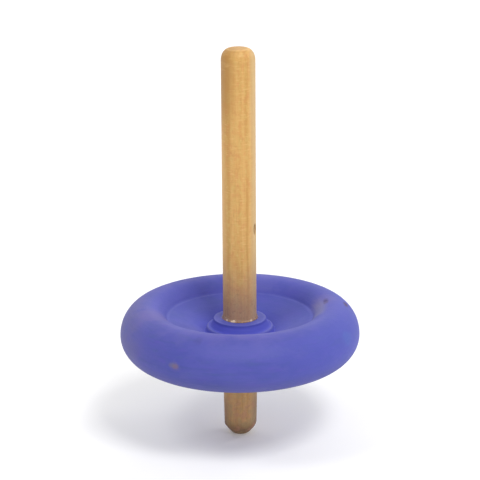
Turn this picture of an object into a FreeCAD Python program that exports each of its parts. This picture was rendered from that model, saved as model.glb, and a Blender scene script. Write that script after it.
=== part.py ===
import FreeCAD, Part
import math
import os

# Wooden spinning top: a dowel stem glued through a turned, painted wheel. Millimetres.
# Origin: centre of the small flat at the tip. +Z runs up the stem, which is the spin axis.

# Stem: a 10 mm hardwood dowel
STEM_LENGTH = 118.0
STEM_RADIUS = 5.0
TIP_FLAT_RADIUS = 2.45
TIP_CONE_HEIGHT = 2.8
TIP_CONE_RADIUS = 4.83
TIP_CONE_BULGE = 0.14
TIP_WEAR_HEIGHT = 10.0
END_FLAT_RADIUS = 2.4
END_ROUND_HEIGHT = 3.4

# Wheel, heights measured from the tip. The rim is one round section, carried on inside its crest
# down to a narrow ledge; from the ledge the face slopes on down a web to the hub.
RIM_RADIUS = 35.7
RIM_BOTTOM_HEIGHT = 23.6
RIM_EQUATOR_HEIGHT = 31.8
RIM_CREST_HEIGHT = 40.8
RIM_CREST_RADIUS = 28.0
RIM_BOTTOM_RADIUS = 26.5
LEDGE_INNER_RADIUS = 21.2
LEDGE_HEIGHT = 37.0
WEB_OUTER_SLOPE = 17.0
WEB_INNER_SLOPE = 32.0
WEB_FOOT_RADIUS = 10.4
WEB_FOOT_HEIGHT = 32.6

# Hub on the wheel's face: a low ring, a sloping flank, and the boss round the bore
RING_OUTER_RADIUS = 9.75
RING_INNER_RADIUS = 8.8
RING_HEIGHT = 34.2
BOSS_RADIUS = 7.85
BOSS_SIDE_HEIGHT = 35.9
BOSS_TOP_HEIGHT = 36.6
BORE_RADIUS = 5.1

# Shallow relief turned into the wheel's flat back
BACK_RELIEF_DEPTH = 1.2
BACK_RELIEF_OUTER_RADIUS = 23.5
BACK_BOSS_RADIUS = 10.0

# Sanded edges of the wheel, and how near an edge lies to the corner that names it
EDGE_ROUNDING = 0.25
NEARNESS = 0.01

# Glue squeezed out where the stem enters and leaves the bore
TOP_BEAD_WIDTH = 0.45
TOP_BEAD_HEIGHT = 1.6
BACK_BEAD_WIDTH = 0.4
BACK_BEAD_HEIGHT = 0.5


def point(radius, height):
    return FreeCAD.Vector(radius, 0, height)


def line(start, end):
    return Part.makeLine(point(*start), point(*end))


def ellipse_arc(centre, half_width, half_height, start_degrees, end_degrees):
    """Part of an ellipse's outline, from one angle to another, anticlockwise from outward."""
    start = math.radians(start_degrees)
    end = math.radians(end_degrees)
    middle = (start + end) / 2
    spread = math.cos((end - start) / 2)
    poles = []
    for angle, reach in ((start, 1), (middle, 1 / spread), (end, 1)):
        radius = centre[0] + half_width * reach * math.cos(angle)
        height = centre[1] + half_height * reach * math.sin(angle)
        poles.append(point(radius, height))
    curve = Part.BezierCurve()
    curve.setPoles(poles)
    curve.setWeight(2, spread)
    return curve.toShape()


def parabola(start, corner, end):
    """The curve that leaves start and reaches end along the two sides of corner."""
    curve = Part.BezierCurve()
    curve.setPoles([point(*start), point(*corner), point(*end)])
    return curve.toShape()


def bulged(start, end, bulge):
    """An arc from start to end, standing out from its chord by bulge, away from the axis."""
    run = end[0] - start[0]
    rise = end[1] - start[1]
    chord = math.hypot(run, rise)
    middle_radius = (start[0] + end[0]) / 2 + bulge * rise / chord
    middle_height = (start[1] + end[1]) / 2 - bulge * run / chord
    return Part.Arc(point(*start), point(middle_radius, middle_height), point(*end)).toShape()


def turned(edges):
    """The solid swept by a closed outline turned about the Z axis."""
    outline = Part.Wire(Part.__sortEdges__(edges))
    return Part.Face(outline).revolve(FreeCAD.Vector(0, 0, 0), FreeCAD.Vector(0, 0, 1), 360)


def smoothed(solid, corners, rounding):
    """The solid with its round edges at these (radius, height) corners filleted."""
    edges = []
    for edge in solid.Edges:
        box = edge.BoundBox
        for radius, height in corners:
            off = abs(box.ZMin - height) + abs(box.ZMax - height) + abs(box.XMax - radius)
            whole_circle = box.XMax + box.XMin < NEARNESS
            if off < NEARNESS and whole_circle:
                edges.append(edge)
    return solid.makeFillet(rounding, edges)


def stem():
    tip_edge = (TIP_FLAT_RADIUS, 0)
    cone_top = (TIP_CONE_RADIUS, TIP_CONE_HEIGHT)
    wear_top = (STEM_RADIUS, TIP_WEAR_HEIGHT)
    round_height = STEM_LENGTH - END_ROUND_HEIGHT
    return turned([
        line((0, 0), tip_edge),
        bulged(tip_edge, cone_top, TIP_CONE_BULGE),
        line(cone_top, wear_top),
        line(wear_top, (STEM_RADIUS, round_height)),
        ellipse_arc((END_FLAT_RADIUS, round_height), STEM_RADIUS - END_FLAT_RADIUS,
                    END_ROUND_HEIGHT, 0, 90),
        line((END_FLAT_RADIUS, STEM_LENGTH), (0, STEM_LENGTH)),
        line((0, STEM_LENGTH), (0, 0)),
    ])


def web_corner(start, end):
    """Where the web's two slopes, drawn straight on from its ends, would meet."""
    outer = math.tan(math.radians(WEB_OUTER_SLOPE))
    inner = math.tan(math.radians(WEB_INNER_SLOPE))
    width = start[0] - end[0]
    reach = (start[1] - end[1] - outer * width) / (inner - outer)
    return (end[0] + reach, end[1] + reach * inner)


def wheel():
    back_face = RIM_BOTTOM_HEIGHT
    relief = back_face + BACK_RELIEF_DEPTH
    crest_width = RIM_RADIUS - RIM_CREST_RADIUS
    crest_height = RIM_CREST_HEIGHT - RIM_EQUATOR_HEIGHT
    past_crest = math.acos((LEDGE_HEIGHT - RIM_EQUATOR_HEIGHT) / crest_height)
    ledge_foot = (RIM_CREST_RADIUS - crest_width * math.sin(past_crest), LEDGE_HEIGHT)
    ledge_edge = (LEDGE_INNER_RADIUS, LEDGE_HEIGHT)
    web_foot = (WEB_FOOT_RADIUS, WEB_FOOT_HEIGHT)
    ring_side = (RING_OUTER_RADIUS, RING_HEIGHT)
    ring_inside = (RING_INNER_RADIUS, RING_HEIGHT)
    boss_side = (BOSS_RADIUS, BOSS_SIDE_HEIGHT)
    boss_edge = (BOSS_RADIUS, BOSS_TOP_HEIGHT)
    blank = turned([
        # Back: hub boss, shallow relief, flat outer band
        line((BORE_RADIUS, back_face), (BACK_BOSS_RADIUS, back_face)),
        line((BACK_BOSS_RADIUS, back_face), (BACK_BOSS_RADIUS, relief)),
        line((BACK_BOSS_RADIUS, relief), (BACK_RELIEF_OUTER_RADIUS, relief)),
        line((BACK_RELIEF_OUTER_RADIUS, relief), (BACK_RELIEF_OUTER_RADIUS, back_face)),
        line((BACK_RELIEF_OUTER_RADIUS, back_face), (RIM_BOTTOM_RADIUS, back_face)),
        # Rim: round below, round above, and on past the crest to the ledge
        ellipse_arc((RIM_BOTTOM_RADIUS, RIM_EQUATOR_HEIGHT), RIM_RADIUS - RIM_BOTTOM_RADIUS,
                    RIM_EQUATOR_HEIGHT - back_face, -90, 0),
        ellipse_arc((RIM_CREST_RADIUS, RIM_EQUATOR_HEIGHT), crest_width, crest_height, 0, 90),
        ellipse_arc((RIM_CREST_RADIUS, RIM_EQUATOR_HEIGHT), crest_width, crest_height,
                    90, 90 + math.degrees(past_crest)),
        # Face: ledge and web
        line(ledge_foot, ledge_edge),
        parabola(ledge_edge, web_corner(ledge_edge, web_foot), web_foot),
        # Hub: ring, flank and boss
        line(web_foot, ring_side),
        line(ring_side, ring_inside),
        line(ring_inside, boss_side),
        line(boss_side, boss_edge),
        line(boss_edge, (BORE_RADIUS, BOSS_TOP_HEIGHT)),
        line((BORE_RADIUS, BOSS_TOP_HEIGHT), (BORE_RADIUS, back_face)),
    ])
    worn_edges = [ledge_edge, ring_side, ring_inside, boss_edge,
                  (BACK_BOSS_RADIUS, back_face), (BACK_RELIEF_OUTER_RADIUS, back_face)]
    return smoothed(blank, worn_edges, EDGE_ROUNDING)


def glue_bond():
    """The film in the bore, with a tapering bead above the hub and a small one under the back."""
    back_face = RIM_BOTTOM_HEIGHT
    bead_bottom = back_face - BACK_BEAD_HEIGHT
    bead_top = BOSS_TOP_HEIGHT + TOP_BEAD_HEIGHT
    back_foot = STEM_RADIUS + BACK_BEAD_WIDTH
    top_foot = STEM_RADIUS + TOP_BEAD_WIDTH
    return turned([
        line((STEM_RADIUS, bead_bottom), (back_foot, back_face)),
        line((back_foot, back_face), (BORE_RADIUS, back_face)),
        line((BORE_RADIUS, back_face), (BORE_RADIUS, BOSS_TOP_HEIGHT)),
        line((BORE_RADIUS, BOSS_TOP_HEIGHT), (top_foot, BOSS_TOP_HEIGHT)),
        line((top_foot, BOSS_TOP_HEIGHT), (STEM_RADIUS, bead_top)),
        line((STEM_RADIUS, bead_top), (STEM_RADIUS, bead_bottom)),
    ])


os.makedirs("parts", exist_ok=True)
for name, shape in {"stem": stem(), "wheel": wheel(), "glue_bond": glue_bond()}.items():
    shape.exportStep("parts/" + name + ".step")
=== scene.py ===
import math

import bpy
import numpy as np
from mathutils import Matrix, Vector, noise


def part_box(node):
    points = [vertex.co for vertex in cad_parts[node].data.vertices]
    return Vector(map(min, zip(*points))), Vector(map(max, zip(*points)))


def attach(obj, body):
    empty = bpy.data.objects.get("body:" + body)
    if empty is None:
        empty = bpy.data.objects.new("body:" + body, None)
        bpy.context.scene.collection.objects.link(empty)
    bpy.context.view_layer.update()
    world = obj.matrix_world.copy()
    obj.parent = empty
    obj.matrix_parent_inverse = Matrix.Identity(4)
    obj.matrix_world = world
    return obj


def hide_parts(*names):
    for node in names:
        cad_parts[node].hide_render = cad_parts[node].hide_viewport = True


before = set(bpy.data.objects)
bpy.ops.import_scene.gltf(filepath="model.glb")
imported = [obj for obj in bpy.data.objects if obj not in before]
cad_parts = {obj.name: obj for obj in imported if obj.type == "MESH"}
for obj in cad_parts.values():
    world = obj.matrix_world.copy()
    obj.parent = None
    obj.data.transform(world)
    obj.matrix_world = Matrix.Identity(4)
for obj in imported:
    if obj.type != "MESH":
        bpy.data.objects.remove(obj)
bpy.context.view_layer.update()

# A wooden spinning top: dowel stem, painted wheel, and the glue that joins them.
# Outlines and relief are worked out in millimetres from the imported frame, then turned about the
# spin axis, which is Z. Blender's own units are metres.
MM = 0.001

# Outlines are drawn with points STEP apart, then thinned. The kept points stand closer together
# where the outline turns: CROWDING is how much, for each radian of turn in a millimetre.
STEP = 0.05
CROWDING = 2.5
CROWDED_TURN_LIMIT = 3.0

# Lengths under this many millimetres count as this
TINY = 1e-6

# The "edge" value of a mesh: how far it spreads past a corner, the sharpest turn that counts, and
# the turn that makes it strong
EDGE_SPREAD = 0.28
EDGE_TURN_LIMIT = 2.0
EDGE_STRONG_TURN = 0.6

# How steeply a dent's sides fall
DENT_STEEPNESS = 1.5

# How far one seed shifts a noise from the next, in its own grains: for shapes and for materials
SHAPE_SEED_SHIFT = (17.3, 5.1, 9.7)
COLOUR_SEED_SHIFT = (13.7, 7.1, 3.3)

# ---------------------------------------------------------------- sizes from the frame


def node_size(node):
    """(outer radius, lowest height, highest height) of a round CAD node, in millimetres."""
    low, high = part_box(node)
    return high.x / MM, low.z / MM, high.z / MM


STEM_RADIUS, STEM_FOOT, STEM_END = node_size("stem")
RIM_RADIUS, BACK_HEIGHT, CREST_HEIGHT = node_size("wheel")
BEAD_RADIUS, BEAD_FOOT, BEAD_END = node_size("glue_bond")

# Stem ends
TIP_FLAT_RADIUS = 2.45
TIP_CONE_RADIUS = 4.83
TIP_CONE_HEIGHT = 2.8
TIP_CONE_BULGE = 0.14
TIP_WEAR_HEIGHT = 10.0
END_FLAT_RADIUS = 2.4
END_ROUND_HEIGHT = 3.4

# Wheel: rim, ledge, web, hub and back
EQUATOR_HEIGHT = 31.8
CREST_RADIUS = 28.0
RIM_BACK_RADIUS = 26.5
LEDGE_HEIGHT = 37.0
LEDGE_RADIUS = 21.2
WEB_OUTER_SLOPE = 17.0
WEB_INNER_SLOPE = 32.0
WEB_FOOT_RADIUS = 10.4
WEB_FOOT_HEIGHT = 32.6
RING_RADIUS = 9.75
RING_TOP_HEIGHT = 34.2
RING_INNER_RADIUS = 8.8
BOSS_RADIUS = 7.85
BOSS_TOP_HEIGHT = 36.6
BOSS_EDGE = 0.7
BORE_RADIUS = 5.1
RELIEF_DEPTH = 1.2
RELIEF_RADIUS = 23.5
BACK_BOSS_RADIUS = 10.0

# Glue under the wheel's back
BACK_BEAD_WIDTH = 0.4

# How far corners are rounded over, and how finely each piece is meshed
WHEEL_EASE = 0.22
STEM_EASE = 0.1
WHEEL_OUTLINE_POINTS = 205
STEM_OUTLINE_POINTS = 300
GLUE_OUTLINE_POINTS = 90
WHEEL_SEGMENTS = 480
STEM_SEGMENTS = 240
GLUE_SEGMENTS = 360

# ---------------------------------------------------------------- outlines and turned meshes


def straight(start, end):
    """Close points along a straight stretch of outline, without the last one."""
    start = np.array(start, float)
    end = np.array(end, float)
    count = max(1, round(float(np.hypot(*(end - start))) / STEP))
    return start + (end - start) * np.arange(count)[:, None] / count


def ellipse(centre, half_sizes, start_degrees, end_degrees):
    """Close points along an elliptical arc, without the last one. Angles run anticlockwise from
    outward."""
    sweep = math.radians(end_degrees - start_degrees)
    count = max(2, round(abs(sweep) * max(half_sizes) / STEP))
    angle = math.radians(start_degrees) + sweep * np.arange(count) / count
    return np.array(centre) + np.stack([np.cos(angle), np.sin(angle)], 1) * half_sizes


def bend(start, corner, end):
    """Close points along a parabola that leaves start and reaches end along the two sides of
    corner, without the last one."""
    start, corner, end = (np.array(p, float) for p in (start, corner, end))
    reach = np.hypot(*(corner - start)) + np.hypot(*(end - corner))
    count = max(2, round(float(reach) / STEP))
    t = np.arange(count)[:, None] / count
    return start * (1 - t) ** 2 + corner * 2 * t * (1 - t) + end * t ** 2


def along_outline(outline, closed):
    """An outline's points, with the first again at the end where it is closed, and the length
    along it up to each of them."""
    points = np.vstack([outline, outline[:1]]) if closed else outline
    run = np.concatenate([[0], np.cumsum(np.hypot(*np.diff(points, axis=0).T))])
    return points, run


def resampled(outline, places, closed):
    """The outline's points at these lengths along it."""
    points, run = along_outline(outline, closed)
    return np.stack([np.interp(places, run, points[:, k]) for k in (0, 1)], 1)


def eased(outline, ease, closed=True):
    """The outline with its corners rounded over about ease millimetres, as sanding and paint
    leave them."""
    _, run = along_outline(outline, closed)
    count = round(run[-1] / STEP)
    even = resampled(outline, np.arange(count) * run[-1] / count, closed)
    reach = round(3 * ease / STEP)
    offsets = np.arange(-reach, reach + 1) * STEP
    weights = np.exp(-0.5 * (offsets / ease) ** 2)
    weights /= weights.sum()
    padded = np.pad(even, ((reach, reach), (0, 0)), "wrap" if closed else "edge")
    return np.stack([np.convolve(padded[:, k], weights, "valid") for k in (0, 1)], 1)


def bending(outline, closed):
    """How sharply an outline turns at each point, per millimetre, positive where it is convex."""
    across = normals_of(outline, closed)
    after = np.roll(across, -1, 0)
    before = np.roll(across, 1, 0)
    step = np.roll(outline, -1, 0) - np.roll(outline, 1, 0)
    length = np.maximum(np.hypot(*step.T), TINY)
    return (before[:, 0] * after[:, 1] - before[:, 1] * after[:, 0]) / length


def thinned(outline, count, closed=True):
    """The outline cut to count points, set closer together where it turns."""
    density = 1 + CROWDING * np.minimum(np.abs(bending(outline, closed)), CROWDED_TURN_LIMIT)
    _, run = along_outline(outline, closed)
    steps = np.diff(run)
    weight = np.concatenate([[0], np.cumsum(steps * density[:len(steps)])])
    wanted = np.arange(count) / count if closed else np.arange(count) / (count - 1)
    return resampled(outline, np.interp(wanted * weight[-1], weight, run), closed)


def normals_of(outline, closed):
    """Unit vectors out of the material, along an outline that runs anticlockwise."""
    if closed:
        along = np.roll(outline, -1, 0) - np.roll(outline, 1, 0)
    else:
        along = np.gradient(outline, axis=0)
    along /= np.maximum(np.hypot(*along.T)[:, None], TINY)
    return np.stack([along[:, 1], -along[:, 0]], 1)


def sharpness(outline, closed):
    """How convex (positive) or hollow (negative) an outline is round each of its points, from -1
    to 1, smoothed so that it reaches a little way past each corner."""
    turn = np.clip(bending(outline, closed), -EDGE_TURN_LIMIT, EDGE_TURN_LIMIT)
    if not closed:
        turn[[0, -1]] = turn[[1, -2]]
    _, run = along_outline(outline, closed)
    place = run[:len(outline)]
    gap = np.abs(place[:, None] - place[None, :])
    if closed:
        gap = np.minimum(gap, run[-1] - gap)
    weight = np.exp(-0.5 * (gap / EDGE_SPREAD) ** 2) * np.gradient(place)[None, :]
    return np.tanh((weight * turn).sum(1) / EDGE_STRONG_TURN)


def turned_mesh(name, outline, segments, worked, closed=True):
    """A mesh object: the outline turned about Z. worked(radius, height, angle, across) moves its
    points. An open outline starts and ends on the axis. The mesh's "edge" value is the outline's
    sharpness."""
    rings = slice(None) if closed else slice(1, -1)
    normals = normals_of(outline, closed)[rings]
    sharp = sharpness(outline, closed)[rings]
    count = len(normals)
    angles = np.arange(segments) / segments * 2 * math.pi
    radius, angle = np.meshgrid(outline[rings, 0], angles, indexing="ij")
    height = np.repeat(outline[rings, 1:2], segments, 1)
    across = (normals[:, 0:1], normals[:, 1:2])
    radius, height = worked(radius, height, angle, across)
    points = np.stack([radius * np.cos(angle), radius * np.sin(angle), height], -1).reshape(-1, 3)
    edge = np.repeat(sharp, segments)
    spans = count if closed else count - 1
    ring, step = np.meshgrid(np.arange(spans), np.arange(segments), indexing="ij")
    after = (ring + 1) % count
    beside = (step + 1) % segments
    corners = [ring * segments + step, ring * segments + beside,
               after * segments + beside, after * segments + step]
    faces = np.stack(corners, -1).reshape(-1, 4).tolist()
    if not closed:
        first = len(points)
        points = np.vstack([points, [[0, 0, outline[0][1]], [0, 0, outline[-1][1]]]])
        edge = np.append(edge, [0, 0])
        last_ring = (count - 1) * segments
        for k in range(segments):
            following = (k + 1) % segments
            faces.append([first, following, k])
            faces.append([first + 1, last_ring + k, last_ring + following])
    mesh = bpy.data.meshes.new(name)
    mesh.from_pydata((points * MM).tolist(), [], faces)
    mesh.attributes.new("edge", "FLOAT", "POINT").data.foreach_set("value", edge.astype(float))
    mesh.shade_smooth()
    piece = bpy.data.objects.new(name, mesh)
    bpy.context.scene.collection.objects.link(piece)
    return piece


def noise_field(x, y, z, seed):
    """Smooth noise from -1 to 1 at every point of three equal arrays, in units of its own grain."""
    shift = Vector(SHAPE_SEED_SHIFT) * seed
    flat = np.array([noise.noise(Vector(p) + shift) for p in zip(x.ravel(), y.ravel(), z.ravel())])
    return flat.reshape(x.shape)


def on_turned(degrees, radius, height):
    """The point of a turned piece at an angle from +X, in millimetres."""
    turn = math.radians(degrees)
    return Vector((radius * math.cos(turn), radius * math.sin(turn), height))


def dent(radius, height, angle, centre, half_sizes, depth):
    """How deep a hollow about centre is at each point. Its half_sizes run round the axis and
    along the outline."""
    around = (angle - math.atan2(centre.y, centre.x) + math.pi) % (2 * math.pi) - math.pi
    across = around * radius / half_sizes[0]
    upright = np.hypot(height - centre.z, radius - math.hypot(centre.x, centre.y)) / half_sizes[1]
    return depth * np.exp(-(across ** 2 + upright ** 2) * DENT_STEEPNESS)


# ---------------------------------------------------------------- the wheel


def wheel_outline():
    """The wheel's section on one side of the axis, anticlockwise from the bore at the back."""
    back = BACK_HEIGHT
    relief = back + RELIEF_DEPTH
    # The rim is one round section, carried on inside its crest down to the ledge
    crown = CREST_HEIGHT - EQUATOR_HEIGHT
    crown_half_width = RIM_RADIUS - CREST_RADIUS
    past_crest = math.degrees(math.acos((LEDGE_HEIGHT - EQUATOR_HEIGHT) / crown))
    ledge_edge = (LEDGE_RADIUS, LEDGE_HEIGHT)
    ledge_foot = (CREST_RADIUS - crown_half_width * math.sin(math.radians(past_crest)), LEDGE_HEIGHT)
    # The web falls from the ledge to the hub, and steepens on the way
    web_foot = (WEB_FOOT_RADIUS, WEB_FOOT_HEIGHT)
    outer = math.tan(math.radians(WEB_OUTER_SLOPE))
    inner = math.tan(math.radians(WEB_INNER_SLOPE))
    rise = LEDGE_HEIGHT - WEB_FOOT_HEIGHT - outer * (LEDGE_RADIUS - WEB_FOOT_RADIUS)
    reach = rise / (inner - outer)
    web_corner = (WEB_FOOT_RADIUS + reach, WEB_FOOT_HEIGHT + reach * inner)
    # The hub: a ring, a sloping flank and the boss
    ring_side = (RING_RADIUS, RING_TOP_HEIGHT)
    ring_inside = (RING_INNER_RADIUS, RING_TOP_HEIGHT)
    boss_side = (BOSS_RADIUS, BOSS_TOP_HEIGHT - BOSS_EDGE)
    boss_edge = (BOSS_RADIUS, BOSS_TOP_HEIGHT)
    mouth = (BORE_RADIUS, BOSS_TOP_HEIGHT)
    sharp = np.vstack([
        straight((BORE_RADIUS, back), (BACK_BOSS_RADIUS, back)),
        straight((BACK_BOSS_RADIUS, back), (BACK_BOSS_RADIUS, relief)),
        straight((BACK_BOSS_RADIUS, relief), (RELIEF_RADIUS, relief)),
        straight((RELIEF_RADIUS, relief), (RELIEF_RADIUS, back)),
        straight((RELIEF_RADIUS, back), (RIM_BACK_RADIUS, back)),
        ellipse((RIM_BACK_RADIUS, EQUATOR_HEIGHT),
                (RIM_RADIUS - RIM_BACK_RADIUS, EQUATOR_HEIGHT - back), -90, 0),
        ellipse((CREST_RADIUS, EQUATOR_HEIGHT), (crown_half_width, crown), 0, 90 + past_crest),
        straight(ledge_foot, ledge_edge),
        bend(ledge_edge, web_corner, web_foot),
        straight(web_foot, ring_side),
        straight(ring_side, ring_inside),
        straight(ring_inside, boss_side),
        straight(boss_side, boss_edge),
        straight(boss_edge, mouth),
        straight(mouth, (BORE_RADIUS, back)),
    ])
    return thinned(eased(sharp, WHEEL_EASE), WHEEL_OUTLINE_POINTS)


# Knocks, rubs, stains and painted highlights on the wheel, by angle from +X, radius and height
CHIP = on_turned(-121.3, 35.6, 32.6)
CHIP_TAIL = on_turned(-123.2, 35.66, 32.8)
BURN = on_turned(6.4, 25.8, 40.6)
BRUISE = on_turned(3.8, 31.7, 39.6)
SMUDGE = on_turned(-112, 31.4, 39.7)
TEAL = on_turned(-27, 35.0, 35.5)
# Painted highlights: a pale band across the front of the rim and a pale patch on its rear wall
FRONT_HIGHLIGHT = on_turned(-90, 33.9, 37.6)
BACK_HIGHLIGHT = on_turned(79, 24.8, 39.4)
SHOULDER_RUB = on_turned(-3, 23.6, 39.2)
CREST_STAIN = on_turned(10, 25.0, 40.3)
LEFT_STAIN = on_turned(-160, 25.5, 40.3)

# Hollows in the wheel: centre, half sizes and depth
WHEEL_DENTS = (
    (CHIP, (1.5, 0.9), 0.16),
    (BURN, (0.8, 1.0), 0.18),
    (BRUISE, (1.6, 0.9), 0.14),
    (on_turned(-62, 34.4, 36.8), (1.2, 0.7), 0.08),
    (on_turned(-84, 35.3, 29.3), (1.7, 0.6), 0.07),
    (on_turned(118, 33.9, 37.2), (1.1, 0.9), 0.10),
    (on_turned(165, 35.5, 30.6), (1.4, 0.8), 0.09),
    (on_turned(55, 29.0, 24.0), (1.6, 1.1), 0.10),
    (on_turned(-150, 23.7, 39.2), (1.3, 0.5), 0.12),
)

# How far the sanded wheel lies under its outline, and how much that varies
WHEEL_SANDING = 0.03
WHEEL_SWAY = 0.018
WHEEL_GRAIN = 0.012


def wheel_worked(radius, height, angle, across):
    """Turned by hand and sanded: never proud of its outline, and less than 0.25 mm below it."""
    x = radius * np.cos(angle)
    y = radius * np.sin(angle)
    sway = noise_field(x * 0.05, y * 0.05, height * 0.08, 3)
    grain = noise_field(x * 0.07, y * 0.8, height * 0.8, 4)
    push = -WHEEL_SANDING + WHEEL_SWAY * sway + WHEEL_GRAIN * grain
    for centre, half_sizes, depth in WHEEL_DENTS:
        push = push - dent(radius, height, angle, centre, half_sizes, depth)
    return radius + push * across[0], height + push * across[1]


# ---------------------------------------------------------------- the stem


def stem_outline():
    """The stem's section on one side of the axis, anticlockwise from the middle of the tip."""
    cone_top = (TIP_CONE_RADIUS, STEM_FOOT + TIP_CONE_HEIGHT)
    lean = math.atan2(TIP_CONE_HEIGHT, TIP_CONE_RADIUS - TIP_FLAT_RADIUS)
    cone = straight((TIP_FLAT_RADIUS, STEM_FOOT), cone_top)
    swell = np.sin(np.linspace(0, math.pi, len(cone), endpoint=False))[:, None]
    cone = cone + swell * TIP_CONE_BULGE * np.array([math.sin(lean), -math.cos(lean)])
    round_centre = (END_FLAT_RADIUS, STEM_END - END_ROUND_HEIGHT)
    wear_top = (STEM_RADIUS, STEM_FOOT + TIP_WEAR_HEIGHT)
    end_edge = (END_FLAT_RADIUS, STEM_END)
    sharp = np.vstack([
        straight((0, STEM_FOOT), (TIP_FLAT_RADIUS, STEM_FOOT)),
        cone,
        straight(cone_top, wear_top),
        straight(wear_top, (STEM_RADIUS, round_centre[1])),
        ellipse(round_centre, (STEM_RADIUS - END_FLAT_RADIUS, END_ROUND_HEIGHT), 0, 90),
        straight(end_edge, (0, STEM_END)),
        [(0, STEM_END)],
    ])
    outline = thinned(eased(sharp, STEM_EASE, closed=False), STEM_OUTLINE_POINTS, closed=False)
    outline[[0, -1], 0] = 0
    return outline


# The nick and the other hollows in the stem: centre, half sizes and depth
NICK = on_turned(-21, 5.0, 64.4)
STEM_DENTS = (
    (NICK, (0.75, 1.9), 0.62),
    (on_turned(-75, 5.0, 113.0), (0.9, 1.4), 0.10),
    (on_turned(-130, 5.0, 88.0), (0.5, 2.4), 0.06),
    (on_turned(-40, 5.0, 100.5), (0.6, 1.8), 0.06),
    (on_turned(140, 5.0, 75.0), (0.7, 2.0), 0.12),
    (on_turned(60, 5.0, 52.0), (0.8, 1.5), 0.10),
    (on_turned(-95, 3.9, 1.4), (1.0, 0.8), 0.12),
    (on_turned(-40, 4.2, 1.8), (0.9, 0.9), 0.12),
    (on_turned(100, 4.0, 1.6), (1.1, 0.8), 0.12),
    (on_turned(-2, 4.85, 2.6), (2.4, 0.7), 0.15),
)

# How far the sanded stem lies under its outline, and how much that varies. On the two end faces
# both fade to nothing from this radius to the axis.
STEM_SANDING = 0.02
STEM_SWAY = 0.01
STEM_FURROW = 0.01
FADE_RADIUS = 1.5


def stem_worked(radius, height, angle, across):
    """Bare dowel: shallow grain furrows, a nick, and small dents where the tip has been worn."""
    x = radius * np.cos(angle)
    y = radius * np.sin(angle)
    sway = noise_field(x * 0.12, y * 0.12, height * 0.03, 5)
    furrow = noise_field(x * 1.3, y * 1.3, height * 0.03, 6)
    fade = np.clip(radius / FADE_RADIUS, 0, 1)
    push = (-STEM_SANDING + STEM_SWAY * sway + STEM_FURROW * furrow) * fade
    for centre, half_sizes, depth in STEM_DENTS:
        push = push - dent(radius, height, angle, centre, half_sizes, depth)
    return radius + push * across[0], height + push * across[1]


# ---------------------------------------------------------------- the glue


def glue_outline():
    """The glue's section on one side of the axis, anticlockwise from its foot."""
    back = BACK_HEIGHT
    back_foot = (STEM_RADIUS + BACK_BEAD_WIDTH, back)
    outline = np.vstack([
        straight((STEM_RADIUS, BEAD_FOOT), back_foot),
        straight(back_foot, (BORE_RADIUS, back)),
        straight((BORE_RADIUS, back), (BORE_RADIUS, BOSS_TOP_HEIGHT)),
        straight((BORE_RADIUS, BOSS_TOP_HEIGHT), (BEAD_RADIUS, BOSS_TOP_HEIGHT)),
        straight((BEAD_RADIUS, BOSS_TOP_HEIGHT), (STEM_RADIUS, BEAD_END)),
        straight((STEM_RADIUS, BEAD_END), (STEM_RADIUS, BEAD_FOOT)),
    ])
    return thinned(outline, GLUE_OUTLINE_POINTS)


# How full the beads are round the stem, as a share of their CAD size: on the whole, in long
# scallops, in short dabs, and at the least. Then how wide an empty bead still is, and how lumpy.
BEAD_FULLNESS = 0.55
BEAD_SCALLOP = 0.75
BEAD_DAB = 0.35
BEAD_LEAST = 0.12
BEAD_LEAST_WIDTH = 0.3
BEAD_LUMP = 0.12


def glue_worked(radius, height, angle, across):
    """The beads run unevenly round the stem, in low scallops and a few higher dabs."""
    x = np.cos(angle)
    y = np.sin(angle)
    scallop = noise_field(x * 3.1, y * 3.1, 0 * x, 7)
    dab = noise_field(x * 9, y * 9, 0 * x, 8)
    full = np.clip(BEAD_FULLNESS + BEAD_SCALLOP * scallop + BEAD_DAB * dab, BEAD_LEAST, 1)
    above = np.maximum(height - BOSS_TOP_HEIGHT, 0)
    below = np.minimum(height - BACK_HEIGHT, 0)
    beyond = np.maximum(radius - BORE_RADIUS, 0)
    lump = 1 - BEAD_LUMP * (1 + noise_field(x * 14, y * 14, height * 2.5, 9)) / 2
    width = BEAD_LEAST_WIDTH + (1 - BEAD_LEAST_WIDTH) * full
    return (np.minimum(radius, BORE_RADIUS) + beyond * width * lump,
            height - above * (1 - full) - below * (1 - full))


# ---------------------------------------------------------------- materials

# A spot's edge wanders with this grain, it is at full strength within this share of its size, and
# a round one has this squeeze
SPOT_GRAIN = (0.9, 0.9, 0.9)
SPOT_CORE = 0.35
EVEN = (1, 1, 1)


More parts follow.
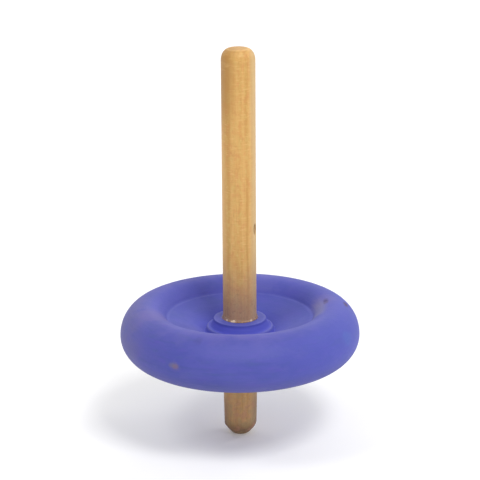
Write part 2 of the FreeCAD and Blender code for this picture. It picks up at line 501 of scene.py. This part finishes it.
class Graph:
    """A material's shader nodes. Values given to a node are numbers, colours or other nodes'
    outputs. Positions are in millimetres in the top's own frame. The material's colour is built
    up in coats, from a palette of named linear colours."""

    def __init__(self, name, palette):
        self.palette = palette
        self.colour = None
        self.material = bpy.data.materials.new(name)
        self.material.use_nodes = True
        self.tree = self.material.node_tree
        self.shader = self.tree.nodes["Principled BSDF"]
        coordinates = self.tree.nodes.new("ShaderNodeTexCoord")
        self.place = self.vector("SCALE", coordinates.outputs["Object"], scale=1 / MM)
        self.x, self.y, self.z = self.split(self.place)
        self.radius = self.vector("LENGTH", self.join(self.x, self.y, 0))
        self.edge = self.put("ShaderNodeAttribute", {}, attribute_name="edge").outputs["Fac"]

    def put(self, kind, values, **settings):
        """A new node of this kind, with these values in its sockets."""
        node = self.tree.nodes.new(kind)
        for key, value in settings.items():
            setattr(node, key, value)
        for key, value in values.items():
            self.feed(node.inputs[key], value)
        return node

    def feed(self, socket, value):
        if isinstance(value, bpy.types.NodeSocket):
            self.tree.links.new(value, socket)
        elif isinstance(value, tuple) and socket.type == "RGBA":
            socket.default_value = (*value, 1)
        else:
            socket.default_value = value

    def surface(self, **values):
        """The material, with the built-up colour and these values on its shader."""
        values["Base Color"] = self.colour
        for key, value in values.items():
            self.feed(self.shader.inputs[key.replace("_", " ")], value)
        return self.material

    def vector(self, operation, first, second=None, scale=None):
        node = self.put("ShaderNodeVectorMath", {0: first}, operation=operation)
        if second is not None:
            self.feed(node.inputs[1], second)
        if scale is not None:
            self.feed(node.inputs["Scale"], scale)
        return node.outputs["Value" if operation in ("LENGTH", "DISTANCE") else "Vector"]

    def split(self, vector):
        return self.put("ShaderNodeSeparateXYZ", {0: vector}).outputs

    def join(self, x, y, z):
        return self.put("ShaderNodeCombineXYZ", {0: x, 1: y, 2: z}).outputs[0]

    def math(self, operation, first, second=0.0, clamp=False):
        node = self.put("ShaderNodeMath", {0: first, 1: second}, operation=operation, use_clamp=clamp)
        return node.outputs[0]

    def times(self, *factors):
        result = factors[0]
        for factor in factors[1:]:
            result = self.math("MULTIPLY", result, factor)
        return result

    def plus(self, *terms):
        result = terms[0]
        for term in terms[1:]:
            result = self.math("ADD", result, term)
        return result

    def span(self, value, low, high, start=0.0, end=1.0):
        """start below low, end above high, and a smooth run between them."""
        node = self.put("ShaderNodeMapRange", {"Value": value, "From Min": low, "From Max": high,
                                               "To Min": start, "To Max": end},
                        interpolation_type="SMOOTHSTEP")
        return node.outputs["Result"]

    def noise(self, stretch, seed, detail=3.0, roughness=0.55, place=None):
        """Noise about 0.5, with this many grains per millimetre along X, Y and Z."""
        scaled = self.vector("MULTIPLY", place or self.place, stretch)
        shifted = self.vector("ADD", scaled, tuple(seed * step for step in COLOUR_SEED_SHIFT))
        node = self.put("ShaderNodeTexNoise", {"Vector": shifted, "Scale": 1.0, "Detail": detail,
                                               "Roughness": roughness})
        return node.outputs["Fac"]

    def band(self, value, outer_low, low, high, outer_high):
        """1 from low to high, and a smooth run down to 0 at the outer pair."""
        return self.times(self.span(value, outer_low, low), self.span(value, outer_high, high))

    def mix(self, factor, under, over):
        node = self.put("ShaderNodeMix", {"Factor": factor, 6: under, 7: over}, data_type="RGBA")
        return node.outputs[2]

    def ground(self, first, second, factor):
        """Start the colour as a mixture of two from the palette."""
        self.colour = self.mix(factor, self.palette[first], self.palette[second])

    def coat(self, name, *amounts):
        """Lay a colour from the palette over what is there, by the product of these amounts."""
        self.colour = self.mix(self.times(*amounts), self.colour, self.palette[name])

    def spot(self, centre, size, ragged, seed, squeeze=EVEN):
        """1 at centre, falling to 0 about size millimetres out, with an uneven edge. It is
        narrower along the axes where squeeze is over 1."""
        offset = self.vector("SUBTRACT", self.place, tuple(centre))
        away = self.vector("LENGTH", self.vector("MULTIPLY", offset, squeeze))
        uneven = self.times(self.plus(self.noise(SPOT_GRAIN, seed), -0.5), ragged * 2 * size)
        return self.span(self.plus(away, uneven), size, size * SPOT_CORE)

    def bump(self, height, millimetres, normal=None):
        """A normal roughened by a height, where 1 stands for this many millimetres."""
        values = {"Height": height, "Strength": 1.0, "Distance": millimetres * MM}
        if normal is not None:
            values["Normal"] = normal
        return self.put("ShaderNodeBump", values).outputs["Normal"]


PAINT_COLOURS = {
    "deep": (0.068, 0.078, 0.378),
    "light": (0.084, 0.088, 0.400),
    "streak": (0.058, 0.078, 0.315),
    "cloud": (0.100, 0.097, 0.385),
    "grain": (0.066, 0.070, 0.330),
    "greenish": (0.066, 0.094, 0.305),
    "purplish": (0.096, 0.078, 0.425),
    "dusty": (0.118, 0.110, 0.410),
    # Painted highlight along the crest's front brow
    "worn": (0.185, 0.180, 0.470),
    # Rubbed paint with a painted highlight on the ledge's edge
    "brow_highlight": (0.152, 0.155, 0.475),
    "ledge": (0.140, 0.150, 0.460),
    # Painted shade and light: recess, hub flank, boss top, inner wall, right side, low down, bottom and
    # far left
    "recess_shade": (0.048, 0.060, 0.400),
    "hub_shade_blue": (0.052, 0.060, 0.500),
    "boss_top": (0.055, 0.068, 0.390),
    "inside": (0.070, 0.076, 0.460),
    "right_side_light": (0.070, 0.084, 0.450),
    "low": (0.068, 0.065, 0.245),
    "foot": (0.045, 0.045, 0.170),
    "left_edge_grey": (0.150, 0.135, 0.300),
    # Painted highlights on the front of the rim and on its rear wall
    "front_highlight": (0.115, 0.119, 0.440),
    "back_highlight": (0.125, 0.125, 0.450),
    "shoulder_rub": (0.208, 0.202, 0.375),
    "crest_stain": (0.210, 0.160, 0.340),
    "left_stain": (0.20, 0.14, 0.36),
    "teal": (0.060, 0.15, 0.46),
    "smudge": (0.060, 0.062, 0.25),
    "chip_edge": (0.150, 0.125, 0.260),
    "chip": (0.200, 0.125, 0.190),
    "chip_tail": (0.150, 0.140, 0.220),
    "burn": (0.070, 0.048, 0.160),
    "bruise": (0.072, 0.036, 0.130),
}

# Small marks in the paint: colour, place, size, raggedness, seed, squeeze and strength
PAINT_MARKS = (
    ("crest_stain", CREST_STAIN, 6.0, 0.4, 12, EVEN, 0.25),
    ("left_stain", LEFT_STAIN, 7.5, 0.4, 13, EVEN, 0.25),
    ("teal", TEAL, 3.8, 0.7, 14, (1, 1, 1.4), 0.26),
    ("smudge", SMUDGE, 1.8, 0.5, 15, EVEN, 0.3),
    ("chip_edge", CHIP, 2.1, 0.4, 16, (0.95, 0.95, 1.2), 0.45),
    ("chip", CHIP, 1.4, 0.45, 17, (0.9, 0.9, 1.3), 0.65),
    ("chip_tail", CHIP_TAIL, 1.3, 0.4, 20, (0.9, 0.9, 1.3), 0.45),
    ("burn", BURN, 1.4, 0.4, 18, (1.15, 0.5, 1.0), 0.7),
    ("bruise", BRUISE, 1.6, 0.4, 19, (1.6, 0.55, 1.0), 0.9),
)


def on_hub(paint):
    """1 over the hub, falling to 0 a little way up the web."""
    return paint.span(paint.radius, RING_RADIUS + 2.25, RING_RADIUS + 1.25)


def paint_wear_and_highlights(paint, broad, cloud, streak, convex):
    """Hands rub the crest paler and dusty, and convex edges wear through a little. A painted
    highlight runs along the crest's front brow, and the ledge's edge is paler from rubbed paint and
    a painted highlight.
    """
    crest = paint.band(paint.radius, CREST_RADIUS - 5.2, CREST_RADIUS - 0.5,
                       CREST_RADIUS + 1, CREST_RADIUS + 6)
    high = paint.span(paint.z, CREST_HEIGHT - 3.8, CREST_HEIGHT - 0.8)
    patchy = paint.span(paint.plus(cloud, paint.times(broad, 0.6)), 0.62, 0.95, 0.15, 1)
    paint.coat("dusty", crest, high, patchy, 0.5)

    paint.coat("worn", convex, paint.span(on_hub(paint), 0.0, 1.0, 0.55, 0.22))

    # Painted highlight: a paler band along the front of the crest's inner brow
    brow_highlight = paint.band(paint.radius, CREST_RADIUS - 4.5, CREST_RADIUS - 3,
                      CREST_RADIUS - 1.2, CREST_RADIUS + 1)
    in_front = paint.span(paint.y, 8.0, -8.0)
    near_top = paint.span(paint.z, CREST_HEIGHT - 1.8, CREST_HEIGHT - 0.8)
    paint.coat("brow_highlight", brow_highlight, in_front, near_top, paint.span(streak, 0.3, 0.6, 0.1, 0.3))

    # Rubbed paint and a painted highlight along the ledge's inner edge
    ledge = paint.band(paint.radius, LEDGE_RADIUS - 0.6, LEDGE_RADIUS + 0.1,
                       LEDGE_RADIUS + 0.4, LEDGE_RADIUS + 1)
    upper = paint.span(paint.z, LEDGE_HEIGHT - 0.8, LEDGE_HEIGHT - 0.3)
    paint.coat("ledge", ledge, upper, paint.span(cloud, 0.25, 0.65, 0.15, 0.5))


def paint_shading(paint, broad, cloud):
    """Painted shade and light: the recess and hub darker and more saturated blue, the rim's inner
    wall bluer, lighter to the right, darker low down and at the bottom, and greyer at the far left.
    """
    # Painted shade: the recess and hub darker, and the hub's hollow flank a more saturated blue
    in_recess = paint.span(paint.z, WEB_FOOT_HEIGHT - 1.1, WEB_FOOT_HEIGHT - 0.1)
    recess_shade = paint.times(in_recess, paint.span(paint.radius, LEDGE_RADIUS + 1.4, LEDGE_RADIUS + 0.4))
    paint.coat("recess_shade", recess_shade, 0.32)
    beside_hub = paint.span(paint.radius, WEB_FOOT_RADIUS + 6.6, WEB_FOOT_RADIUS - 0.4)
    off_boss = paint.span(paint.radius, BOSS_RADIUS - 0.25, BOSS_RADIUS + 0.25)
    paint.coat("hub_shade_blue", recess_shade, beside_hub, off_boss, paint.span(paint.edge, 0.35, 0.05), 0.45)
    # Painted shade: the boss top a little darker
    near_top = paint.span(paint.z, BOSS_TOP_HEIGHT - 1, BOSS_TOP_HEIGHT - 0.2)
    paint.coat("boss_top", on_hub(paint), near_top, 0.35)

    # Painted shade: the rim's inner wall a more saturated blue
    wall = paint.band(paint.radius, LEDGE_RADIUS + 0.2, LEDGE_RADIUS + 1, CREST_RADIUS - 2.5, CREST_RADIUS)
    paint.coat("inside", wall, paint.span(paint.z, LEDGE_HEIGHT - 0.5, LEDGE_HEIGHT + 0.2), 0.35)
    # Painted light: lighter and bluer toward the right
    paint.coat("right_side_light", paint.span(paint.plus(paint.x, paint.times(broad, 20)), 12.0, 42.0), 0.5)
    # Painted shade: darker low down and more so to the left, and darkest at the bottom
    low = paint.span(paint.z, EQUATOR_HEIGHT - 1.3, EQUATOR_HEIGHT - 6.8)
    paint.coat("low", low, paint.span(paint.x, -26.0, 8.0, 0.7, 0.45))
    paint.coat("foot", paint.span(paint.z, BACK_HEIGHT + 2.6, BACK_HEIGHT + 0.6), 0.5)
    # Painted light: greyer toward the far left edge
    paint.coat("left_edge_grey", paint.span(paint.x, -25.0, -33.5), paint.span(cloud, 0.3, 0.6, 0.4, 1), 0.5)


def paint_marks_and_highlights(paint):
    """Painted highlights across the front of the rim and on its rear wall behind the stem, a broad
    rub on the right shoulder, then the small marks.
    """
    # Painted highlights: a pale band across the front of the rim, and a pale patch on the rear wall behind
    # the stem
    paint.coat("front_highlight", paint.spot(FRONT_HIGHLIGHT, 18.0, 0.25, 8, (1, 1, 6)), 0.42)
    on_wall = paint.span(paint.radius, LEDGE_RADIUS + 0.4, LEDGE_RADIUS + 1.4)
    paint.coat("back_highlight", paint.spot(BACK_HIGHLIGHT, 11.0, 0.25, 9), on_wall, 0.42)
    shoulder = paint.band(paint.radius, LEDGE_RADIUS + 0.2, LEDGE_RADIUS + 2,
                          CREST_RADIUS - 4, CREST_RADIUS - 1)
    paint.coat("shoulder_rub", paint.spot(SHOULDER_RUB, 9.0, 0.3, 11), shoulder, 0.6)
    for name, place, size, ragged, seed, squeeze, strength in PAINT_MARKS:
        paint.coat(name, paint.spot(place, size, ragged, seed, squeeze), strength)


def paint_material():
    """Matt blue-violet paint over turned wood: thin on edges, rubbed and marked, with painted shade in
    the recess and low down, and painted highlights on the crest and rim.
    """
    paint = Graph("blue_violet_paint", PAINT_COLOURS)
    broad = paint.noise((0.06, 0.06, 0.09), 1)
    cloud = paint.noise((0.22, 0.22, 0.3), 2, detail=4)
    streak = paint.noise((0.09, 0.09, 0.95), 3, detail=4, roughness=0.6)
    grain = paint.noise((0.10, 1.5, 1.5), 4, detail=5, roughness=0.65)
    speck = paint.noise((1.7, 1.7, 1.7), 5, detail=2)
    turned_place = paint.join(paint.radius, paint.x, paint.z)
    rings = paint.noise((2.2, 0.02, 2.2), 6, detail=3, roughness=0.6, place=turned_place)
    blotch = paint.noise((0.16, 0.16, 0.55), 7, detail=5, roughness=0.65)
    convex = paint.span(paint.plus(paint.edge, paint.times(paint.plus(cloud, -0.5), 0.5)), 0.12, 0.8)

    paint.ground("deep", "light", paint.span(broad, 0.35, 0.66))
    paint.coat("streak", paint.span(streak, 0.45, 0.72, 0, 0.55))
    paint.coat("cloud", paint.span(cloud, 0.5, 0.75, 0, 0.4))
    paint.coat("grain", paint.span(grain, 0.5, 0.8, 0, 0.5))
    paint.coat("greenish", paint.span(blotch, 0.52, 0.72, 0, 0.45))
    paint.coat("purplish", paint.span(blotch, 0.46, 0.30, 0, 0.45))
    paint_wear_and_highlights(paint, broad, cloud, streak, convex)
    paint_shading(paint, broad, cloud)
    paint_marks_and_highlights(paint)

    roughness = paint.plus(0.56, paint.times(cloud, 0.22), paint.times(convex, -0.10))
    fine = paint.plus(paint.times(grain, 0.6), paint.times(speck, 0.25), paint.times(rings, 0.5))
    finish = paint.bump(streak, 0.12, paint.bump(fine, 0.07))
    return paint.surface(Roughness=roughness, Normal=finish, Specular_IOR_Level=0.35,
                         Sheen_Weight=0.05, Sheen_Roughness=0.5)


WOOD_COLOURS = {
    "honey": (0.580, 0.312, 0.082),
    "pale_honey": (0.690, 0.397, 0.127),
    "warm": (0.660, 0.318, 0.090),
    "olive": (0.545, 0.360, 0.098),
    "dark_fibre": (0.450, 0.220, 0.062),
    "light_fibre": (0.770, 0.500, 0.180),
    "orange_mottle": (0.620, 0.275, 0.090),
    "straw_mottle": (0.650, 0.435, 0.140),
    "light_fleck": (0.780, 0.510, 0.205),
    "dark_fleck": (0.500, 0.260, 0.075),
    "amber_streak": (0.500, 0.245, 0.052),
    # Painted light and shade at the stem's edges: paler on the right, darker at the top left, paler down
    # the left
    "right_edge_light": (0.570, 0.410, 0.200),
    "top_left_shade": (0.400, 0.200, 0.062),
    "amber": (0.440, 0.220, 0.048),
    "left_edge_light": (0.780, 0.460, 0.165),
    "pore": (0.330, 0.165, 0.055),
    "sanded": (0.750, 0.480, 0.180),
    "end_ring": (0.400, 0.215, 0.080),
    "top_face": (0.470, 0.270, 0.105),
    # Painted highlight round the top face's edge
    "top_rim_highlight": (0.800, 0.540, 0.240),
    # Grime with painted blue bounce above the hub, grime with painted shade below, and painted shade on
    # the stem's sides
    "grime_and_blue_bounce_above": (0.368, 0.230, 0.192),
    "grime_and_shade_below": (0.450, 0.255, 0.145),
    "stem_side_shade": (0.150, 0.105, 0.095),
    "tip": (0.130, 0.080, 0.052),
    "red_stain": (0.490, 0.240, 0.145),
    "green_stain": (0.400, 0.290, 0.140),
    "dirt": (0.250, 0.135, 0.085),
    "dirty_fibre": (0.200, 0.115, 0.065),
    "nick": (0.420, 0.250, 0.110),
    "split": (0.130, 0.052, 0.014),
}


# The growth rings of the end grain: their centre, well off the axis, and how far the wave of light
# and dark turns in a millimetre, in radians
PITH = (-22.0, 9.0, 0.0)
RING_TURN = 5.2


def streaks_and_side_light(wood):
    """An amber grain streak up the front, then painted light and shade at the stem's edges: paler on
    the right and down the left, and browner and darker at the top left."""
    drift = wood.times(wood.plus(wood.noise((0.05, 0.05, 0.03), 21), -0.5), 2.4)
    across = wood.plus(wood.x, drift)
    front = wood.span(wood.y, -1.0, -3.0)
    streak = wood.band(across, 1.9, 2.4, 2.5, 3.1)
    wood.coat("amber_streak", streak, front, wood.span(wood.z, 88, 70, 0.25, 1), 0.5)
    # Painted light: paler toward the right edge
    wood.coat("right_edge_light", wood.span(across, 3.0, 4.2), wood.span(wood.y, 2.5, 0.0), 0.6)
    # Painted shade: darker and browner at the top left
    far_left = wood.span(across, -0.6, -4.6)
    wood.coat("top_left_shade", far_left, wood.span(wood.z, 90, 110), wood.span(wood.y, 3.5, 1.0), 0.6)
    left = wood.span(across, 0.4, -1.4)
    wood.coat("amber", left, wood.span(wood.z, 92, 106), wood.span(wood.y, 1.0, -1.0), 0.4)
    # Painted light: paler down the left edge
    wood.coat("left_edge_light", wood.span(across, -3.3, -4.6), wood.band(wood.z, 36, 46, 86, 98), 0.5)


def wood_ends(wood, end):
    """Sanding marks near the top, end grain that drinks more dirt, and a painted highlight round the
    top face's edge.
    """
    near_end = wood.span(wood.z, STEM_END - 12, STEM_END - 5)
    sanded = wood.times(wood.noise((0.30, 0.30, 1.0), 35, detail=4), near_end)
    wood.coat("sanded", wood.span(sanded, 0.48, 0.72, 0, 0.3))
    from_pith = wood.vector("DISTANCE", wood.join(wood.x, wood.y, 0), PITH)
    rings = wood.math("SINE", wood.times(from_pith, RING_TURN))
    wood.coat("end_ring", end, wood.span(rings, 0.0, 1.0), 0.22)
    on_face = wood.span(wood.radius, END_FLAT_RADIUS + 0.5, END_FLAT_RADIUS + 0.1)
    wood.coat("top_face", wood.span(wood.z, STEM_END - 0.7, STEM_END - 0.3), on_face, 0.35)
    # Painted highlight: a pale ring round the top face's edge
    on_rim = wood.band(wood.radius, END_FLAT_RADIUS + 0.2, END_FLAT_RADIUS + 0.6,
                       END_FLAT_RADIUS + 0.8, END_FLAT_RADIUS + 1.3)
    wood.coat("top_rim_highlight", wood.span(wood.z, STEM_END - 1.2, STEM_END - 0.7), on_rim, 0.35)


def wood_grime_and_shade(wood, fibre):
    """A soft grey-brown film above the hub, with painted blue bounce from the wheel in it, and
    thicker from the wheel's back to the tip, with painted shade there and down the stem's sides.
    Returns how soiled the surface is."""
    wander = wood.times(wood.plus(wood.noise((0.22, 0.22, 0.10), 27), -0.5), 16.0)
    level = wood.plus(wood.z, wander)
    stain = wood.noise((0.38, 0.38, 0.34), 37, detail=4)
    speck = wood.noise((1.5, 1.5, 1.1), 26, detail=4, roughness=0.7)
    # The two films change over inside the bore, where the stem is hidden
    above = wood.times(wood.span(level, 58.0, 38.0), wood.span(wood.z, 30.0, 34.0))
    below = wood.times(wood.span(level, 25.0, 5.0), wood.span(wood.z, 34.0, 30.0))
    # Grime with painted blue bounce from the wheel above the hub, and grime with painted shade below the
    # wheel
    wood.coat("grime_and_blue_bounce_above", above, 0.52)
    wood.coat("grime_and_shade_below", below, 0.56)
    # Painted shade: darker down the stem's left and right sides below the wheel, most near the tip
    flanks = wood.span(wood.math("ABSOLUTE", wood.x), 2.6, 4.9)
    wood.coat("stem_side_shade", flanks, below, wood.span(wood.z, 15.0, 8.0, 0.35, 1), 0.6)
    wood.coat("tip", wood.span(wood.z, 5.6, 1.6), 0.74)
    wood.coat("red_stain", below, wood.span(stain, 0.50, 0.62), 0.55)
    wood.coat("green_stain", below, wood.span(stain, 0.50, 0.38), 0.50)
    soiled = wood.plus(above, below)
    wood.coat("dirt", soiled, wood.span(speck, 0.5, 0.72), 0.42)
    wood.coat("dirty_fibre", soiled, wood.span(fibre, 0.52, 0.75), 0.35)
    return soiled


def wood_nick(wood):
    """A dark split round a paler hollow. Returns where the hollow is."""
    splinter = (1.4, 1.4, 0.85)
    hollow = wood.spot(NICK, 1.75, 0.2, 28, splinter)
    wood.coat("nick", hollow, 0.5)
    wood.coat("split", wood.math("SUBTRACT", hollow, wood.spot(NICK, 1.3, 0.35, 29, splinter), clamp=True))
    return hollow


def wood_material():
    """Honey hardwood dowel, worn smooth: upright grain, pores, end grain, and grime from use, with
    painted light and shade at its edges, on its top and under the wheel.
    """
    wood = Graph("honey_wood", WOOD_COLOURS)
    figure = wood.noise((0.42, 0.42, 0.013), 22, detail=4, roughness=0.55)
    fibre = wood.noise((2.6, 2.6, 0.09), 23, detail=5, roughness=0.7)
    pores = wood.noise((6.0, 6.0, 0.5), 24, detail=2)
    warm = wood.noise((0.5, 0.5, 0.22), 25, detail=5, roughness=0.65)
    olive = wood.noise((0.45, 0.45, 0.16), 30, detail=5, roughness=0.65)
    mottle = wood.noise((0.75, 0.75, 0.42), 36, detail=5, roughness=0.7)
    fleck = wood.noise((0.45, 0.45, 2.6), 39)
    end = wood.plus(wood.span(wood.z, STEM_END - 1.8, STEM_END - 0.2), wood.span(wood.z, 0.5, 0.05))

    wood.ground("honey", "pale_honey", wood.span(figure, 0.34, 0.66))
    wood.coat("warm", wood.span(warm, 0.5, 0.72, 0, 0.55))
    wood.coat("olive", wood.span(olive, 0.52, 0.74, 0, 0.45))
    wood.coat("dark_fibre", wood.span(fibre, 0.5, 0.8, 0, 0.5))
    wood.coat("light_fibre", wood.span(fibre, 0.5, 0.25, 0, 0.25))
    wood.coat("orange_mottle", wood.span(mottle, 0.50, 0.64, 0, 0.5))
    wood.coat("straw_mottle", wood.span(mottle, 0.50, 0.36, 0, 0.5))
    wood.coat("light_fleck", wood.span(fleck, 0.56, 0.70, 0, 0.4))
    wood.coat("dark_fleck", wood.span(fleck, 0.44, 0.32, 0, 0.25))
    streaks_and_side_light(wood)
    wood.coat("pore", wood.span(pores, 0.64, 0.76, 0, 0.35))
    wood_ends(wood, end)
    soiled = wood_grime_and_shade(wood, fibre)
    hollow = wood_nick(wood)

    roughness = wood.plus(0.40, wood.times(fibre, 0.18), wood.times(soiled, 0.18), wood.times(end, 0.15))
    furrows = wood.plus(wood.times(fibre, 0.7), wood.times(pores, -0.4), wood.times(figure, 0.5))
    return wood.surface(Roughness=wood.plus(roughness, wood.times(hollow, 0.5)),
                        Normal=wood.bump(furrows, 0.06), Specular_IOR_Level=0.4)


GLUE_COLOURS = {
    "brown": (0.290, 0.150, 0.070),
    "amber": (0.480, 0.250, 0.100),
    "pale_lump": (0.680, 0.440, 0.220),
    "dark_hollow": (0.190, 0.110, 0.080),
    "grime": (0.285, 0.185, 0.135),
    "fleck": (0.830, 0.640, 0.420),
}

# Pale flecks in the glue at the front: angle from +X, size, strength and seed
GLUE_FLECKS = ((-114, 1.1, 0.95, 33), (-137, 0.6, 0.75, 38), (-50, 0.6, 0.6, 34))
FLECK_RADIUS = 5.3
FLECK_HEIGHT = 36.9


def glue_material():
    """Dried amber glue, dirty brown where it is thin on the stem, with pale flecks at its foot."""
    glue = Graph("amber_glue", GLUE_COLOURS)
    cloud = glue.noise((0.9, 0.9, 0.9), 31, detail=3)
    lump = glue.noise((2.6, 2.6, 2.6), 32, detail=3)
    glue.ground("brown", "amber", glue.span(cloud, 0.35, 0.65))
    glue.coat("pale_lump", glue.span(lump, 0.58, 0.70, 0, 0.6))
    glue.coat("dark_hollow", glue.span(lump, 0.46, 0.36, 0, 0.7))
    glue.coat("grime", glue.span(glue.plus(glue.z, glue.times(lump, 0.6)), 37.0, 37.5), 0.75)
    for degrees, size, strength, seed in GLUE_FLECKS:
        place = on_turned(degrees, FLECK_RADIUS, FLECK_HEIGHT)
        glue.coat("fleck", glue.spot(place, size, 0.5, seed, (0.9, 0.9, 1.5)), strength)
    roughness = glue.plus(0.26, glue.times(cloud, 0.2))
    return glue.surface(Roughness=roughness, Normal=glue.bump(lump, 0.15), Specular_IOR_Level=0.5,
                        Coat_Weight=0.3)


FLOOR_COLOURS = {"shade": (0.90, 0.90, 0.90), "white": (0.93, 0.93, 0.93)}


def floor_material():
    """Matt white board, lit a little from beneath, with the faintest cloud in it."""
    board = Graph("pale_floor", FLOOR_COLOURS)
    board.ground("shade", "white", board.noise((0.02, 0.02, 0.02), 41))
    tooth = board.noise((0.8, 0.8, 0.8), 42)
    return board.surface(Roughness=0.85, Normal=board.bump(tooth, 0.02), Specular_IOR_Level=0.1,
                         Emission_Color=(1.0, 0.99, 0.97), Emission_Strength=0.10)


# ---------------------------------------------------------------- the pieces

wheel_piece = turned_mesh("painted_wheel", wheel_outline(), WHEEL_SEGMENTS, wheel_worked)
stem_piece = turned_mesh("dowel_stem", stem_outline(), STEM_SEGMENTS, stem_worked, closed=False)
glue_piece = turned_mesh("glue_bead", glue_outline(), GLUE_SEGMENTS, glue_worked)
for piece, node, slot, material in ((wheel_piece, "wheel", "painted_wood", paint_material()),
                                    (stem_piece, "stem", "stem_wood", wood_material()),
                                    (glue_piece, "glue_bond", "dried_glue", glue_material())):
    piece.data.materials.append(material)
    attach(piece, "root")
    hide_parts(node)

# ---------------------------------------------------------------- floor, light and camera

# Metres and watts from here on
FLOOR_REACH = 3.0
LIGHT_REACH = 1.2
LIGHT_AIM = Vector((0, 0, 0.05))
LIGHT_CENTRE_HEIGHT = 0.03
WORLD_STRENGTH = 0.50

corner_signs = ((-1, -1), (1, -1), (1, 1), (-1, 1))
floor_corners = [(x * FLOOR_REACH, y * FLOOR_REACH, 0) for x, y in corner_signs]
floor_mesh = bpy.data.meshes.new("floor")
floor_mesh.from_pydata(floor_corners, [], [(0, 1, 2, 3)])
floor = bpy.data.objects.new("floor", floor_mesh)
bpy.context.scene.collection.objects.link(floor)
floor_mesh.materials.append(floor_material())


def soft_light(name, place, size, watts):
    """A square area light that faces the top."""
    lamp = bpy.data.lights.new(name, "AREA")
    lamp.size = size
    lamp.energy = watts
    light = bpy.data.objects.new(name, lamp)
    light.location = place
    light.rotation_euler = (LIGHT_AIM - Vector(place)).to_track_quat("-Z", "Y").to_euler()
    bpy.context.scene.collection.objects.link(light)


def round_the_top(azimuth, elevation):
    """A place LIGHT_REACH from the top, at these degrees round from +X and up from level."""
    level = LIGHT_REACH * math.cos(math.radians(elevation))
    turn = math.radians(azimuth)
    rise = LIGHT_REACH * math.sin(math.radians(elevation))
    return (level * math.cos(turn), level * math.sin(turn), rise + LIGHT_CENTRE_HEIGHT)


# Name, azimuth, elevation, size and power
LIGHTS = (
    ("key", 300, 56, 0.35, 5.9),
    ("left_top", 210, 56, 0.35, 2.5),
    ("right_low", 330, 28, 0.35, 1.4),
    ("rear_right", 30, 28, 0.35, 2.7),
    ("rear", 78, 28, 0.6, 2.2),
    ("rear_left", 120, 28, 0.35, 1.6),
)
for name, azimuth, elevation, size, watts in LIGHTS:
    soft_light(name, round_the_top(azimuth, elevation), size, watts)

world = bpy.data.worlds.new("studio")
world.use_nodes = True
background = world.node_tree.nodes["Background"]
background.inputs["Color"].default_value = (1, 1, 1, 1)
background.inputs["Strength"].default_value = WORLD_STRENGTH
bpy.context.scene.world = world
bpy.context.scene.view_settings.view_transform = "Standard"

# The camera stands where the photo was taken from
CAMERA_ELEVATION = math.radians(17.12)
CAMERA_ROLL = math.radians(-0.394)
CAMERA_DISTANCE = 0.5705
CAMERA_AIM = Vector((0.0002, 0, 0.0606))
CAMERA_LENS = 145.4
CAMERA_SENSOR = 36

camera_data = bpy.data.cameras.new("camera")
camera_data.lens = CAMERA_LENS
camera_data.sensor_width = CAMERA_SENSOR
camera = bpy.data.objects.new("camera", camera_data)
back = Vector((0, -math.cos(CAMERA_ELEVATION), math.sin(CAMERA_ELEVATION)))
level = Vector((1, 0, 0))
upright = back.cross(level)
right = math.cos(CAMERA_ROLL) * level + math.sin(CAMERA_ROLL) * upright
up = math.cos(CAMERA_ROLL) * upright - math.sin(CAMERA_ROLL) * level
turn = Matrix((right, up, back)).transposed().to_4x4()
camera.matrix_world = Matrix.Translation(CAMERA_AIM + back * CAMERA_DISTANCE) @ turn
bpy.context.scene.collection.objects.link(camera)
bpy.context.scene.camera = camera
